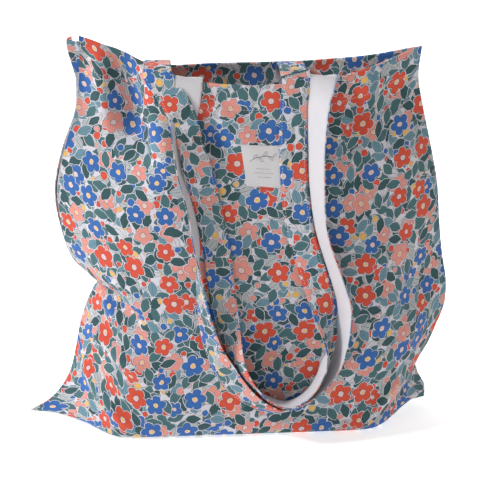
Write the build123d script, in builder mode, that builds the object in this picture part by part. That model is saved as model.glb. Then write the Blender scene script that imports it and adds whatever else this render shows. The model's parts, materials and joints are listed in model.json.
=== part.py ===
from build123d import *
from math import radians, sin
import os

# Foldable cotton tote bag, standing empty with its base spread and both straps flopped
# over the front.  Millimetres; X runs along the mouth, -Y is the front, +Z is up, and the
# origin is the middle of the base.

# ---- cloth -------------------------------------------------------------------------
cloth = 0.8                 # heavy cotton canvas, one layer
seam_gap = 1.2              # slot between the two panels that the seam threads fill
seam_allowance = 9.0        # cloth turned inwards at each side seam
bottom_seam_height = 2.5    # the bottom seam ends here and the side seams begin
thread = 0.6                # thickness of every sewing thread

# ---- the standing bag ---------------------------------------------------------------
bag_height = 375.0          # to the tips of the two top corners
mouth_sag = 34.0            # the middle of each mouth edge hangs this much lower
base_depth = 124.0          # front to back at the floor
mouth_depth = 62.0          # front to back at the mouth
hem_height = 25.0           # folded hem around the mouth
hem_stitch_inset = 4.0      # hem stitching above the hem's lower edge

# Each level: share of the bag's height, reach of the left seam, reach of the right seam,
# half the flat middle
level_shares = [
    (0.0, 212.0, 184.0, 132.0),
    (0.024, 198.0, 181.0, 130.0),
    (0.0853, 180.0, 174.0, 127.0),
    (0.2133, 163.0, 189.0, 122.0),
    (0.384, 140.0, 199.0, 114.0),
    (0.5653, 173.0, 189.0, 108.0),
    (0.7787, 161.0, 172.0, 104.0),
    (1.04, 148.0, 165.0, 103.0),
]
levels = [(share * bag_height, left, right, flat) for share, left, right, flat in level_shares]

# ---- label ---------------------------------------------------------------------------
label_width = 38.0
label_height = 39.0
label_thickness = 0.6
label_shift = 15.0          # middle of the label, right of the bag's middle
label_drop = 110.0          # middle of the label, below the top corners
label_stitch_inset = 1.5

# ---- straps --------------------------------------------------------------------------
strap_width = 25.0
strap_spacing = 122.0       # middle to middle of one handle's two ends
front_shift = 10.0          # middle of the front handle
back_shift = -16.0          # middle of the back handle
strap_end_length = 38.0     # sewn down inside the hem
strap_clearance = 0.5       # free cloth lies this far off its neighbour
hinge_drop = 25.0           # straps fold here, below the top corners
fold_lift = 3.0             # the bridges pass this far above the fold line
tack_height = 22.0          # box of stitching that holds a strap end
rim_stitch_inset = 2.0      # edge stitching along the straps

os.makedirs("parts", exist_ok=True)

half_base = base_depth / 2
half_mouth = mouth_depth / 2
slope = (half_base - half_mouth) / bag_height
strap_thickness = 2 * cloth
hinge_height = bag_height - hinge_drop
label_up = bag_height - label_drop


def wall_reach(height):
    """Half the bag's depth at a height: the front and back walls are straight slopes."""
    return half_base - slope * height


def bag_form(inset, floor):
    """The bag's outer form, drawn in by inset all round and started at floor."""
    with BuildPart() as form:
        for height, left, right, flat in levels:
            depth = wall_reach(height) - inset
            tip = inset * seam_allowance / cloth
            level = max(height, floor)
            with BuildSketch(Plane.XY.offset(level)):
                with BuildLine():
                    Polyline(
                        (-left + tip, 0), (-flat + inset, -depth), (flat - inset, -depth),
                        (right - tip, 0), (flat - inset, depth), (-flat + inset, depth),
                        close=True,
                    )
                make_face()
        loft(ruled=True)
    return form.part


def mouth_band(top, bottom):
    """A block between two copies of the sagging mouth line, dropped by top and bottom."""
    edge = 240.0
    middle = bag_height - mouth_sag
    rise = mouth_sag * (edge / levels[-1][1]) ** 2
    with BuildPart() as band:
        with BuildSketch(Plane.XZ):
            with BuildLine():
                upper = ThreePointArc(
                    (-edge, middle + rise - top), (0, middle - top), (edge, middle + rise - top)
                )
                lower = ThreePointArc(
                    (-edge, middle + rise - bottom),
                    (0, middle - bottom),
                    (edge, middle + rise - bottom),
                )
                Line(upper @ 0, lower @ 0)
                Line(upper @ 1, lower @ 1)
            make_face()
        extrude(amount=base_depth, both=True)
    return band.part


outer_form = bag_form(0.0, 0.0)
inner_form = bag_form(cloth, cloth)
hem_form = bag_form(2 * cloth, cloth)
above_mouth = mouth_band(-bag_height, 0.0)
hem_zone = mouth_band(0.0, hem_height)

# ---- bag body: one walled form, shared out between the panels and the seams -----------
with BuildPart() as body_wall:
    add(outer_form)
    add(inner_form, mode=Mode.SUBTRACT)
    add(above_mouth, mode=Mode.SUBTRACT)

with BuildPart() as hem_fold:
    add(inner_form)
    add(hem_form, mode=Mode.SUBTRACT)
    add(hem_zone, mode=Mode.INTERSECT)

front_side = Plane.XZ.offset(seam_gap / 2)
back_side = Plane.XZ.offset(-seam_gap / 2)

with BuildPart() as front_panel:
    add(body_wall.part)
    add(hem_fold.part)
    split(bisect_by=front_side, keep=Keep.TOP)
front_panel.part.label = "front_panel"

with BuildPart() as back_panel:
    add(body_wall.part)
    add(hem_fold.part)
    split(bisect_by=back_side, keep=Keep.BOTTOM)
back_panel.part.label = "back_panel"

with BuildPart() as seam_loop:
    add(body_wall.part)
    add(hem_fold.part)
    split(bisect_by=front_side, keep=Keep.BOTTOM)
    split(bisect_by=back_side, keep=Keep.TOP)

with BuildPart() as bottom_seam:
    add(seam_loop.part)
    split(bisect_by=Plane.XY.offset(bottom_seam_height), keep=Keep.BOTTOM)
bottom_seam.part.label = "bottom_seam"

with BuildPart() as left_side_seam:
    add(seam_loop.part)
    split(bisect_by=Plane.XY.offset(bottom_seam_height), keep=Keep.TOP)
    split(bisect_by=Plane.YZ, keep=Keep.BOTTOM)
left_side_seam.part.label = "left_side_seam"

with BuildPart() as right_side_seam:
    add(seam_loop.part)
    split(bisect_by=Plane.XY.offset(bottom_seam_height), keep=Keep.TOP)
    split(bisect_by=Plane.YZ, keep=Keep.TOP)
right_side_seam.part.label = "right_side_seam"


# ---- planes that lie on the sloping walls ----------------------------------------------
def wall_plane(side, x, height, lift):
    """Plane on the front (side -1) or back (side 1) wall: local Y up the slope, Z outwards."""
    outward = Vector(0, side, slope).normalized()
    seat = Vector(x, side * wall_reach(height), height)
    return Plane(origin=seat + outward * lift, x_dir=(-side, 0, 0), z_dir=outward)


# ---- hem stitching: one thread along each flat wall ------------------------------------
def hem_thread(side):
    half_run = levels[-1][3]
    height = bag_height - mouth_sag - hem_height + hem_stitch_inset
    with BuildPart() as line:
        with BuildSketch(wall_plane(side, 0, height, 0)):
            Rectangle(2 * half_run, thread)
        extrude(amount=thread)
    return line.part


with BuildPart() as front_hem_stitching:
    add(hem_thread(-1))
front_hem_stitching.part.label = "front_hem_stitching"

with BuildPart() as back_hem_stitching:
    add(hem_thread(1))
back_hem_stitching.part.label = "back_hem_stitching"

# ---- label -----------------------------------------------------------------------------
with BuildPart() as label:
    with BuildSketch(wall_plane(-1, label_shift, label_up, 0)):
        Rectangle(label_width, label_height)
    extrude(amount=label_thickness)
label.part.label = "label"

with BuildPart() as label_stitching:
    with BuildSketch(wall_plane(-1, label_shift, label_up, label_thickness)):
        Rectangle(label_width - 2 * label_stitch_inset, label_height - 2 * label_stitch_inset)
        offset(amount=-thread, mode=Mode.SUBTRACT, kind=Kind.INTERSECTION)
    extrude(amount=thread / 2)
label_stitching.part.label = "label_stitching"

# ---- straps ----------------------------------------------------------------------------
# A strap is two layers: a printed cover and a white lining.  Its free loop hangs in front
# of the bag.  Each station of a route gives x, the distance down the front from the fold
# line, how many straps it passes over, and its turn about its own length: 0 shows the
# lining, 180 the cover, and 90 sets the strap on edge with its lining inside the loop.
left_end = -strap_spacing / 2
right_end = strap_spacing / 2
lie = strap_thickness / 2 + strap_clearance + thread
over = strap_thickness + strap_clearance + thread

front_route = [
    (front_shift + left_end, 3, 0, 0),
    (-54, 28, 0, 0),
    (-61, 50, 0, 10),
    (-66, 66, 0, 35),
    (-66, 82, 0, 62),
    (-62, 100, 0, 78),
    (-57, 118, 0, 82),
    (-51, 142, 0, 84),
    (-47, 162, 0, 86),
    (-46, 184, 0, 98),
    (-43, 206, 0, 106),
    (-40, 230, 0, 114),
    (-34, 254, 0, 120),
    (-23, 277, 0, 126),
    (-12, 292, 0, 124),
    (0, 304, 0, 120),
    (16, 314, 0, 112),
    (32, 318, 0, 104),
    (48, 313, 0, 98),
    (64, 301, 0, 90),
    (78, 284, 0, 80),
    (87, 266, 0, 74),
    (91, 250, 0, 72),
    (92, 234, 0, 68),
    (91, 214, 0, 64),
    (85, 192, 0, 64),
    (77, 169, 0, 64),
    (70, 148, 0, 62),
    (66, 125, 0, 60),
    (64, 100, 0, 56),
    (63, 72, 0, 50),
    (64, 44, 0, 40),
    (68, 22, 0, 20),
    (front_shift + right_end, 3, 0, 0),
]
back_route = [
    (back_shift + left_end, 3, 1, 180),
    (-69, 14, 2, 180),
    (-61, 30, 3, 180),
    (-54, 50, 4, 180),
    (-49, 68, 4, 180),
    (-44, 86, 4, 180),
    (-39, 108, 2, 180),
    (-35, 130, 1, 180),
    (-31, 152, 1, 180),
    (-28, 170, 1, 180),
    (-26, 190, 1, 174),
    (-23, 212, 1, 164),
    (-20, 232, 1, 150),
    (-15, 252, 1, 134),
    (-6, 272, 1, 118),
    (6, 288, 1, 106),
    (22, 300, 1, 98),
    (38, 304, 1, 95),
    (52, 297, 1, 95),
    (64, 284, 1, 95),
    (71, 268, 1, 100),
    (74, 252, 1, 112),
    (74, 238, 1, 126),
    (71, 222, 1, 142),
    (67, 206, 1, 160),
    (62, 190, 1, 172),
    (57, 174, 1, 178),
    (51, 156, 1, 180),
    (47, 135, 1, 180),
    (43, 110, 1, 180),
    (41, 80, 1, 180),
    (41, 45, 1, 180),
    (43, 20, 1, 180),
    (back_shift + right_end, 3, 1, 180),
]


outward = Vector(0, -1, slope).normalized()
downward = Vector(0, -slope, -1).normalized()


def strap_point(x, down, passes_over, turn):
    """The strap's middle in front of the front wall, clear of it whatever its turn."""
    stand = lie + over * passes_over + strap_width / 2 * sin(radians(turn))
    return Vector(x, -wall_reach(hinge_height), hinge_height) + downward * down + outward * stand


def strap_planes(route):
    """One plane across the strap at each station: local X across it, local Y to its lining."""
    points = [strap_point(*station) for station in route]
    planes = []
    for index, station in enumerate(route):
        before = points[max(index - 1, 0)]
        after = points[min(index + 1, len(points) - 1)]
        run = (after - before).normalized()
        if index in (0, len(points) - 1):
            run = downward if index == 0 else -downward
        facing = (outward - run * outward.dot(run)).normalized()
        lining_way = facing.rotate(Axis((0, 0, 0), run), -station[3])
        planes.append(Plane(origin=points[index], x_dir=lining_way.cross(run), z_dir=run))
    return planes


def ribbon(route, width, thickness, across, towards_lining):
    """A ruled band through the stations of a route."""
    planes = strap_planes(route)
    with BuildPart() as band:
        for pair in zip(planes, planes[1:]):
            for section in pair:
                with BuildSketch(section):
                    with Locations((across, towards_lining)):
                        Rectangle(width, thickness)
            loft(ruled=True)
    return band.part


rim = strap_width / 2 - rim_stitch_inset
print("front loop along its middle, mm:", round(sum(
    (strap_point(*b) - strap_point(*a)).length
    for a, b in zip(front_route, front_route[1:])
)))
print("back loop along its middle, mm:", round(sum(
    (strap_point(*b) - strap_point(*a)).length
    for a, b in zip(back_route, back_route[1:])
)))

with BuildPart() as front_handle_cover:
    add(ribbon(front_route, strap_width, cloth, 0, -cloth / 2))
front_handle_cover.part.label = "front_handle_cover"

with BuildPart() as front_handle_lining:
    add(ribbon(front_route, strap_width, cloth, 0, cloth / 2))
front_handle_lining.part.label = "front_handle_lining"

with BuildPart() as front_handle_stitching:
    for edge_side in (-1, 1):
        add(ribbon(front_route, thread, thread / 2, edge_side * rim, -cloth - thread / 4))
front_handle_stitching.part.label = "front_handle_stitching"

with BuildPart() as back_handle_cover:
    add(ribbon(back_route, strap_width, cloth, 0, -cloth / 2))
back_handle_cover.part.label = "back_handle_cover"

with BuildPart() as back_handle_lining:
    add(ribbon(back_route, strap_width, cloth, 0, cloth / 2))
back_handle_lining.part.label = "back_handle_lining"

with BuildPart() as back_handle_stitching:
    for edge_side in (-1, 1):
        add(ribbon(back_route, thread, thread / 2, edge_side * rim, -cloth - thread / 4))
back_handle_stitching.part.label = "back_handle_stitching"


# ---- strap ends, sewn down inside the hem ---------------------------------------------
def sewn_ends(side, shift, thickness, depth_inside):
    """The two strap ends on one wall's inner face; depth_inside is measured from that face."""
    top = bag_height - mouth_sag - strap_clearance
    lift = -2 * cloth - depth_inside
    with BuildPart() as ends:
        with BuildSketch(wall_plane(side, shift, top - strap_end_length / 2, lift)):
            with GridLocations(strap_spacing, strap_end_length, 2, 1):
                Rectangle(strap_width, strap_end_length)
        extrude(amount=-thickness)
    return ends.part


def sewn_tacks(side, shift):
    """The two boxes of crossed stitching over the strap ends."""
    top = bag_height - mouth_sag - strap_clearance
    diagonal = (strap_width - 2 * rim_stitch_inset, tack_height)
    lift = -2 * cloth - strap_thickness
    with BuildPart() as tacks:
        with BuildSketch(wall_plane(side, shift, top - strap_end_length + tack_height / 2
                                    + rim_stitch_inset, lift)):
            with GridLocations(strap_spacing, tack_height, 2, 1):
                Rectangle(*diagonal)
                Rectangle(diagonal[0] - 2 * thread, tack_height - 2 * thread, mode=Mode.SUBTRACT)
                with BuildLine():
                    Line((-diagonal[0] / 2, -tack_height / 2), (diagonal[0] / 2, tack_height / 2))
                    Line((-diagonal[0] / 2, tack_height / 2), (diagonal[0] / 2, -tack_height / 2))
                trace(line_width=thread)
        extrude(amount=-thread / 2)
    return tacks.part


with BuildPart() as front_handle_cover_ends:
    add(sewn_ends(-1, front_shift, cloth, 0))
front_handle_cover_ends.part.label = "front_handle_cover_ends"

with BuildPart() as front_handle_lining_ends:
    add(sewn_ends(-1, front_shift, cloth, cloth))
front_handle_lining_ends.part.label = "front_handle_lining_ends"

with BuildPart() as front_handle_tacks:
    add(sewn_tacks(-1, front_shift))
front_handle_tacks.part.label = "front_handle_tacks"

with BuildPart() as back_handle_cover_ends:
    add(sewn_ends(1, back_shift, cloth, 0))
back_handle_cover_ends.part.label = "back_handle_cover_ends"

with BuildPart() as back_handle_lining_ends:
    add(sewn_ends(1, back_shift, cloth, cloth))
back_handle_lining_ends.part.label = "back_handle_lining_ends"

with BuildPart() as back_handle_tacks:
    add(sewn_tacks(1, back_shift))
back_handle_tacks.part.label = "back_handle_tacks"


# ---- bridges: the back handle's straps where they cross the mouth ----------------------
def bridge(bottom, thickness):
    """Two flat straps from the back wall to the front fold line, bottom above the fold."""
    span = 2 * wall_reach(hinge_height)
    with BuildPart() as straps:
        with BuildSketch(Plane.XY.offset(hinge_height + bottom)):
            with Locations((back_shift, 0)):
                with GridLocations(strap_spacing, span, 2, 1):
                    Rectangle(strap_width, span)
        extrude(amount=thickness)
    return straps.part


with BuildPart() as back_handle_lining_bridges:
    add(bridge(fold_lift, cloth))
back_handle_lining_bridges.part.label = "back_handle_lining_bridges"

with BuildPart() as back_handle_cover_bridges:
    add(bridge(fold_lift + cloth, cloth))
back_handle_cover_bridges.part.label = "back_handle_cover_bridges"

for piece in (
    front_panel, back_panel, left_side_seam, right_side_seam, bottom_seam,
    front_hem_stitching, back_hem_stitching, label, label_stitching,
    front_handle_cover, front_handle_lining, front_handle_stitching,
    front_handle_cover_ends, front_handle_lining_ends, front_handle_tacks,
    back_handle_cover, back_handle_lining, back_handle_stitching,
    back_handle_cover_bridges, back_handle_lining_bridges,
    back_handle_cover_ends, back_handle_lining_ends, back_handle_tacks,
):
    export_step(piece.part, f"parts/{piece.part.label}.step")
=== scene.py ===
# %% [markdown]
# # A foldable cotton tote bag
# The bag is built around a frame that is already measured: its seams, its straps' ends and
# the lines where the straps fold over the mouth. This lesson lays real cloth on that frame.
# Everything is in one set of axes: X runs along the mouth, -Y is the front and +Z is up. The
# shapes are thought out in millimetres, as a sewing pattern is, and placed in metres.

# %% Load the frame
import json
import math

import bpy
import mathutils
import numpy as np
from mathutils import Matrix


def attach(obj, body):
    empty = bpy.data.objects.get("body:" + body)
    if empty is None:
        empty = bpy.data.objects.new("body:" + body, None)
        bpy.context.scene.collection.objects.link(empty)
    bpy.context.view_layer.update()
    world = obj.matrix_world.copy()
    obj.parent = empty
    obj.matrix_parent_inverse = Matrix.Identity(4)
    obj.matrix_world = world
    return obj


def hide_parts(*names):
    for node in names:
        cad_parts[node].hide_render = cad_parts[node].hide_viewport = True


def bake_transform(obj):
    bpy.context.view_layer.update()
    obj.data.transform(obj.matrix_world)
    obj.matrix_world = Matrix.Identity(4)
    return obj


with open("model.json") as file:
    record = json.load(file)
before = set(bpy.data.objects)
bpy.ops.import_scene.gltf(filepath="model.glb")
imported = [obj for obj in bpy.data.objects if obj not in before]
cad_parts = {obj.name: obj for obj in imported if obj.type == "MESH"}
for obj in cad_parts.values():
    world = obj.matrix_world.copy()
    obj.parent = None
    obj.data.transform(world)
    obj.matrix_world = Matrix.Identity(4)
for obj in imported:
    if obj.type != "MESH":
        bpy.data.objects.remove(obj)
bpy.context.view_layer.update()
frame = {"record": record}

for thing in bpy.context.selected_objects:
    thing.select_set(False)

# %% [markdown]
# ## Smooth curves through given rows
# A bag is lofted: a few rows are given and the rows between them are smooth.
# Straight lines between the rows would leave ridges that no cloth has, and one formula for
# the whole bag could not follow its slumped left side. A Catmull-Rom curve goes through every
# given value and changes gently between them, so it is used for all measures of the shape.

# %% Smooth interpolation
MM = 0.001


def smooth_rows(keys, values, at):
    """Catmull-Rom through (keys, values), read at the places in at."""
    keys, values, at = np.asarray(keys, float), np.asarray(values, float), np.asarray(at, float)
    slopes = np.gradient(values, keys)
    i = np.clip(np.searchsorted(keys, at, side="right") - 1, 0, len(keys) - 2)
    span = keys[i + 1] - keys[i]
    t = np.clip((at - keys[i]) / span, 0, 1)
    a, b = values[i], values[i + 1]
    ma, mb = slopes[i] * span, slopes[i + 1] * span
    return (
        (2 * t**3 - 3 * t**2 + 1) * a + (t**3 - 2 * t**2 + t) * ma
        + (3 * t**2 - 2 * t**3) * b + (t**3 - t**2) * mb
    )


print("a quarter of the way from 0 to 8:", smooth_rows([0, 1], [0, 8], [0.25])[0])

# %% [markdown]
# ## Soft ridges and soft steps
# Two small shapes are enough to bend cloth locally. A ridge fades out on both sides of a
# line, as a crease does, and a step goes from none to all over a stretch, as the pull of a
# seam does. Both have no kinks, so the cloth stays smooth where they are added up.

# %% A ridge and a step
def bump(distance, width):
    """1 on a line, falling smoothly to 0 a few widths away."""
    return np.exp(-((distance / width) ** 2))


def ramp(value, low, high):
    """0 below low, 1 above high, smooth between."""
    t = np.clip((value - low) / (high - low), 0, 1)
    return t * t * (3 - 2 * t)


print("ridge at one width:", round(float(bump(1.0, 1.0)), 2), "step halfway:", ramp(0.5, 0, 1))

# %% [markdown]
# ## The shape of the standing cloth
# Both panels are cut 380 mm wide and 422 mm tall and meet at the side seams and at the bottom
# seam. The lowest 62 mm of each panel lies flat as half of the base, and the base pulls the
# two bottom corners out into flat ears. A bag sewn this way has no edge between its front and
# its side, so it is described by weft lines and not by flat faces.
# Each row is one weft line: how far up the panel it is, where it meets the left and the right
# seam, how high and how deep the middle of the front and back panels are there, where the
# panel turns towards each seam, and how sharply it turns.

# %% Rows of the standing bag, in millimetres
# up the panel | left seam x, z | right seam x, z | front y, z | back y, z | corners x | crispness
bag_rows = [
    (0,   -212,   4,  184,   6,    0,  1,   0,   1, -190, 168, 12),
    (30,  -192,  16,  183,  20,  -30,  1,  30,   1, -158, 152, 12),
    (58,  -177,  34,  175,  36,  -60,  2,  60,   2, -134, 133, 9),
    (70,  -171,  46,  173,  45,  -63, 10,  63,  10, -131, 132, 8),
    (92,  -165,  68,  181,  58,  -62, 33,  62,  33, -129, 134, 6),
    (124, -158, 101,  191,  82,  -60, 65,  60,  65, -126, 138, 5),
    (160, -145, 134,  200, 114,  -57, 98,  57,  98, -118, 141, 4),
    (172, -140, 143,  200, 126,  -56, 110, 56, 110, -116, 141, 4),
    (184, -149, 150,  199, 137,  -55, 122, 55, 122, -117, 140, 4),
    (204, -162, 163,  195, 157,  -53, 142, 53, 142, -118, 137, 3.5),
    (240, -172, 198,  190, 193,  -50, 178, 50, 178, -118, 131, 3),
    (276, -174, 234,  186, 232,  -46, 214, 46, 214, -115, 124, 3),
    (316, -165, 278,  177, 274,  -42, 254, 42, 254, -105, 113, 2.6),
    (350, -155, 309,  168, 311,  -38, 283, 38, 288, -92, 101, 2.4),
    (386, -150, 343,  163, 338,  -34, 310, 34, 316, -78, 90, 2.2),
    (422, -149, 374,  165, 365,  -31, 337, 31, 343, -66, 78, 2.0),
]
columns = np.array(bag_rows, float).T
up_panel = columns[0]
PANEL_W, PANEL_H, BASE = 380.0, 422.0, 62.0
print(len(bag_rows), "rows from", up_panel[0], "to", up_panel[-1], "mm up the panel")

# %% [markdown]
# ## Rounding the corners
# Going across a panel, the cloth first runs along the front of the bag, then turns and runs
# back to the seam. Cloth has no sharp corner there, and how soft the turn is changes from the
# crisp base to the slack mouth. A soft limit gives both: it follows a straight line while the
# value is small, then levels off, and one number sets how quickly.

# %% The turn from the front to the seam
def soft_limit(value, crisp):
    """Follows value while it is small and levels off at 1; a high crispness turns sharply."""
    return value / (1 + value**crisp) ** (1 / crisp)


def round_corner(s, at_corner, crisp):
    """How far a point has gone towards the corner, and how deep it still is, from 0 to 1."""
    to_corner = soft_limit(np.abs(s) / at_corner, crisp) / soft_limit(1 / at_corner, crisp)
    beyond = 1 - at_corner
    depth = soft_limit((1 - np.abs(s)) / beyond, crisp) / soft_limit(1 / beyond, crisp)
    return to_corner, depth


print("a soft and a crisp corner:", [round(soft_limit(1.0, c), 2) for c in (2.0, 12.0)])

# %% [markdown]
# ## How this bag slumps
# An empty tote does not stand evenly. Here the left end of the mouth is pressed flat, the
# front shoulder stands above the back one, and the back panel swells out past the left seam.
# A cloth simulation would find some slump, but not this one, so each habit is one line of
# code that starts and ends softly.

# %% Uneven habits of the mouth
SEAM_HALF = 0.7  # the threads of a seam keep the two panels this far from its middle


def settle(x, y, z, s, v, side):
    """Move points of an even bag to where this one's slack cloth has settled."""
    shut = ramp(v, 250, 400) * ramp(-s, 0.44, 0.86)
    y = y * (1 - 0.80 * shut)
    z = z + 5.0 * (-side) * ramp(v, 330, PANEL_H) * bump(s + 0.52, 0.26)
    z = z + 6.0 * ramp(v, 355, PANEL_H) * ramp(-s, 0.60, 0.82) * (1 - 0.2 * ramp(-s, 0.88, 1.0))
    if side > 0:
        swell = 11.0 * bump(v - 285, 55) + 21.0 * ramp(v, 345, PANEL_H)
        x = x - swell * bump(s + 0.94, 0.055)
        y = y + 8.0 * ramp(v, 372, PANEL_H) * (1 - ramp(np.abs(s), 0.45, 0.80))
    y = y + side * SEAM_HALF * (1 - ramp(1 - np.abs(s), 0.0, 0.02))
    y = np.where(v < 2, side * SEAM_HALF, y)
    return np.stack([x, y, z], axis=-1)


print("the left shoulder of the front rises", round(float(5.0 * bump(0, 0.26))), "mm")

# %% [markdown]
# ## From the flat cut to the standing bag
# Now any point of the flat panel can be placed: `s` runs from -1 at the left seam to 1 at the
# right seam and `v` is millimetres up the panel. How much of the width lies before the corner
# follows from the real lengths, so that the cloth is hardly stretched or gathered.

# %% Place a point of a panel in space
def stand(s, v, side):
    """s and v are arrays; side is -1 for the front panel and 1 for the back one."""
    left_x, left_z, right_x, right_z = (smooth_rows(up_panel, columns[k], v) for k in (1, 2, 3, 4))
    mid_y, mid_z = (smooth_rows(up_panel, columns[k], v) for k in ((5, 6) if side < 0 else (7, 8)))
    corner_l, corner_r, crisp = (smooth_rows(up_panel, columns[k], v) for k in (9, 10, 11))
    middle = (corner_l + corner_r) / 2
    corner = np.where(s < 0, corner_l, corner_r)
    seam_x = np.where(s < 0, left_x, right_x)
    seam_z = np.where(s < 0, left_z, right_z)
    flat_run = np.abs(corner - middle)
    turn_run = np.hypot(np.hypot(seam_x - corner, mid_y), 0.6 * (seam_z - mid_z))
    to_corner, depth = round_corner(s, flat_run / (flat_run + turn_run), crisp)
    x = middle + (corner - middle) * to_corner + (seam_x - corner) * (1 - depth)
    z = mid_z + (seam_z - mid_z) * (1 - depth) ** 1.15
    return settle(x, mid_y * depth, z, s, v, side)


print("middle of the front, 210 mm up the panel:", np.round(stand(0.0, 210.0, -1), 1), "mm")

# %% [markdown]
# ## Where the creases run
# A fold lives in the cloth, so each crease is a line on the bag with a height and a width:
# positive ones stand proud and negative ones are valleys. The deepest are at the pinched left
# side, under the flattened end of the mouth, and at the ears, where the base tucks the cloth
# in. Sculpting them by hand would not be repeatable, and noise alone has no direction.

# %% Crease lines
# each crease: from (x, z), to (x, z), height in mm, half width in mm
creases = {
    -1: [
        ((-137, 146), (-96, 112), -9, 7), ((-140, 140), (-104, 96), 5, 8),
        ((-150, 100), (-88, 60), 5.5, 8), ((-146, 88), (-84, 44), -4.5, 9),
        ((-158, 66), (-112, 10), 6, 8), ((-146, 62), (-98, 12), -4, 8),
        ((-110, 376), (-92, 262), -9, 11), ((-130, 384), (-122, 270), 7, 11),
        ((-88, 350), (-66, 250), 4, 10),
        ((-70, 330), (0, 270), -4, 7), ((-58, 340), (14, 288), 4, 8),
        ((-44, 344), (-16, 286), -3, 7),
        ((96, 356), (112, 230), -3.5, 9), ((112, 356), (128, 240), 3.5, 10),
        ((150, 330), (160, 190), 3, 11), ((182, 150), (120, 60), -3, 13),
        ((-150, 230), (-90, 196), 3.5, 16), ((-120, 190), (-70, 120), -2.5, 15),
        ((150, 46), (118, 14), 4, 8), ((0, 120), (90, 40), -1.6, 20),
    ],
    1: [
        ((-137, 146), (-92, 120), -8, 8), ((-150, 96), (-90, 56), 5, 9),
        ((-110, 366), (-92, 250), -4, 9), ((-60, 340), (-20, 220), 3, 14),
        ((70, 345), (40, 220), -3, 14), ((110, 350), (128, 236), 3.5, 10),
        ((176, 150), (100, 70), 4, 13), ((160, 60), (110, 16), -4, 9),
        ((-40, 160), (60, 70), -2.4, 22), ((-156, 64), (-110, 12), 5, 9),
    ],
}
print("creases on the front and the back:", [len(creases[side]) for side in (-1, 1)])

# %% [markdown]
# ## Slack in the cloth
# Between its creases thick cotton still swells and dips by a millimetre or so over a hand's
# breadth. A sum of slow waves in random directions gives that, from a fixed seed, so the same
# bag is made each time. The creases are then added with soft ends.

# %% How proud each point stands
SLOW_WAVES = 26


def crease_depths(s, v, x, z, side, seed):
    """Millimetres that each point stands proud of the smooth shape."""
    rng = np.random.default_rng(seed)
    d = np.zeros_like(s)
    for _ in range(SLOW_WAVES):
        angle, wave = rng.uniform(0, math.pi), rng.uniform(70, 190)
        phase = rng.uniform(0, 2 * math.pi)
        along = PANEL_W / 2 * s * math.cos(angle) + v * math.sin(angle)
        d += rng.uniform(0.15, 0.45) * np.sin(2 * math.pi * along / wave + phase)
    for line in creases[side]:
        (x0, z0), (x1, z1), height, width = line
        length = math.hypot(x1 - x0, z1 - z0)
        ux, uz = (x1 - x0) / length, (z1 - z0) / length
        run = (x - x0) * ux + (z - z0) * uz
        off = (x - x0) * -uz + (z - z0) * ux + 3.0 * np.sin(run / length * math.pi)
        fade = ramp(run, -0.18 * length, 0.25 * length) * (1 - ramp(run, 0.6 * length, 1.12 * length))
        d += height * fade * bump(off, width)
    return d


print("each panel gets", SLOW_WAVES, "slow waves and", len(creases[1]), "creases at the back")

# %% [markdown]
# ## The two panels as grids
# A grid of points carries one panel. Its spacing, about 2.4 mm, is fine enough for the
# narrowest crease. The creases push each point along the cloth's own normal, and they fade at
# the seams and on the base, because stitches and the table hold the cloth there.

# %% Panel grids
def panel_points(side, across, up):
    """The standing panel as a grid of points in millimetres, with its creases."""
    s, v = np.meshgrid(np.linspace(-1, 1, across), np.linspace(0, PANEL_H, up))
    grid = stand(s, v, side)
    du = np.gradient(grid, axis=1)
    dv = np.gradient(grid, axis=0)
    normal = np.cross(du, dv)
    normal /= np.maximum(np.linalg.norm(normal, axis=-1, keepdims=True), 1e-9)
    normal *= 1 if side < 0 else -1
    depth = crease_depths(s, v, grid[..., 0], grid[..., 2], side, 11 + side)
    hold = ramp(1 - np.abs(s), 0.0, 0.10) * ramp(v, BASE, BASE + 22)
    hold *= 1 - 0.75 * ramp(v, PANEL_H - 30, PANEL_H)
    grid = grid + normal * (depth * hold)[..., None]
    return grid


ACROSS, UP = 161, 181
front_grid = panel_points(-1, ACROSS, UP)
back_grid = panel_points(1, ACROSS, UP)
print("front panel spans", np.round(np.ptp(front_grid.reshape(-1, 3), axis=0)), "mm")

# %% [markdown]
# ## Lengths along the cloth
# A print or a weave must keep its size wherever the cloth bends, so its map is made from
# lengths measured on the cloth itself, and not from a projection. The running length along
# the rows and the columns of a grid gives both map directions.

# %% Running lengths
def arc_lengths(grid, axis):
    """Running length of a grid of points along an axis."""
    step = np.linalg.norm(np.diff(grid, axis=axis), axis=-1)
    zero = np.zeros_like(np.take(step, [0], axis=axis))
    return np.concatenate([zero, np.cumsum(step, axis=axis)], axis=axis)


def along_rows(grid, zero_row):
    """Length along each column, measured from one row."""
    length = arc_lengths(grid, 0)
    return length - length[zero_row]


def along_columns(grid, zero_col):
    """Length along each row, measured from one column."""
    length = arc_lengths(grid, 1)
    return length - length[:, [zero_col]]


print("front panel, seam to seam at the mouth:", round(float(arc_lengths(front_grid, 1)[-1, -1])), "mm")

# %% [markdown]
# ## Cloth as a thin sheet
# A sheet starts as a grid primitive. Its points are placed one by one, its UV map is the cut
# cloth itself in metres, and a Solidify modifier gives it the thickness of the cloth with a
# second material for the wrong side. Solidify is chosen over two hand-made layers because it
# closes the rim as well.

# %% Turn a grid of points into cloth
SMOOTH_BELOW = 50  # degrees between faces that still shade as one surface


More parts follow.
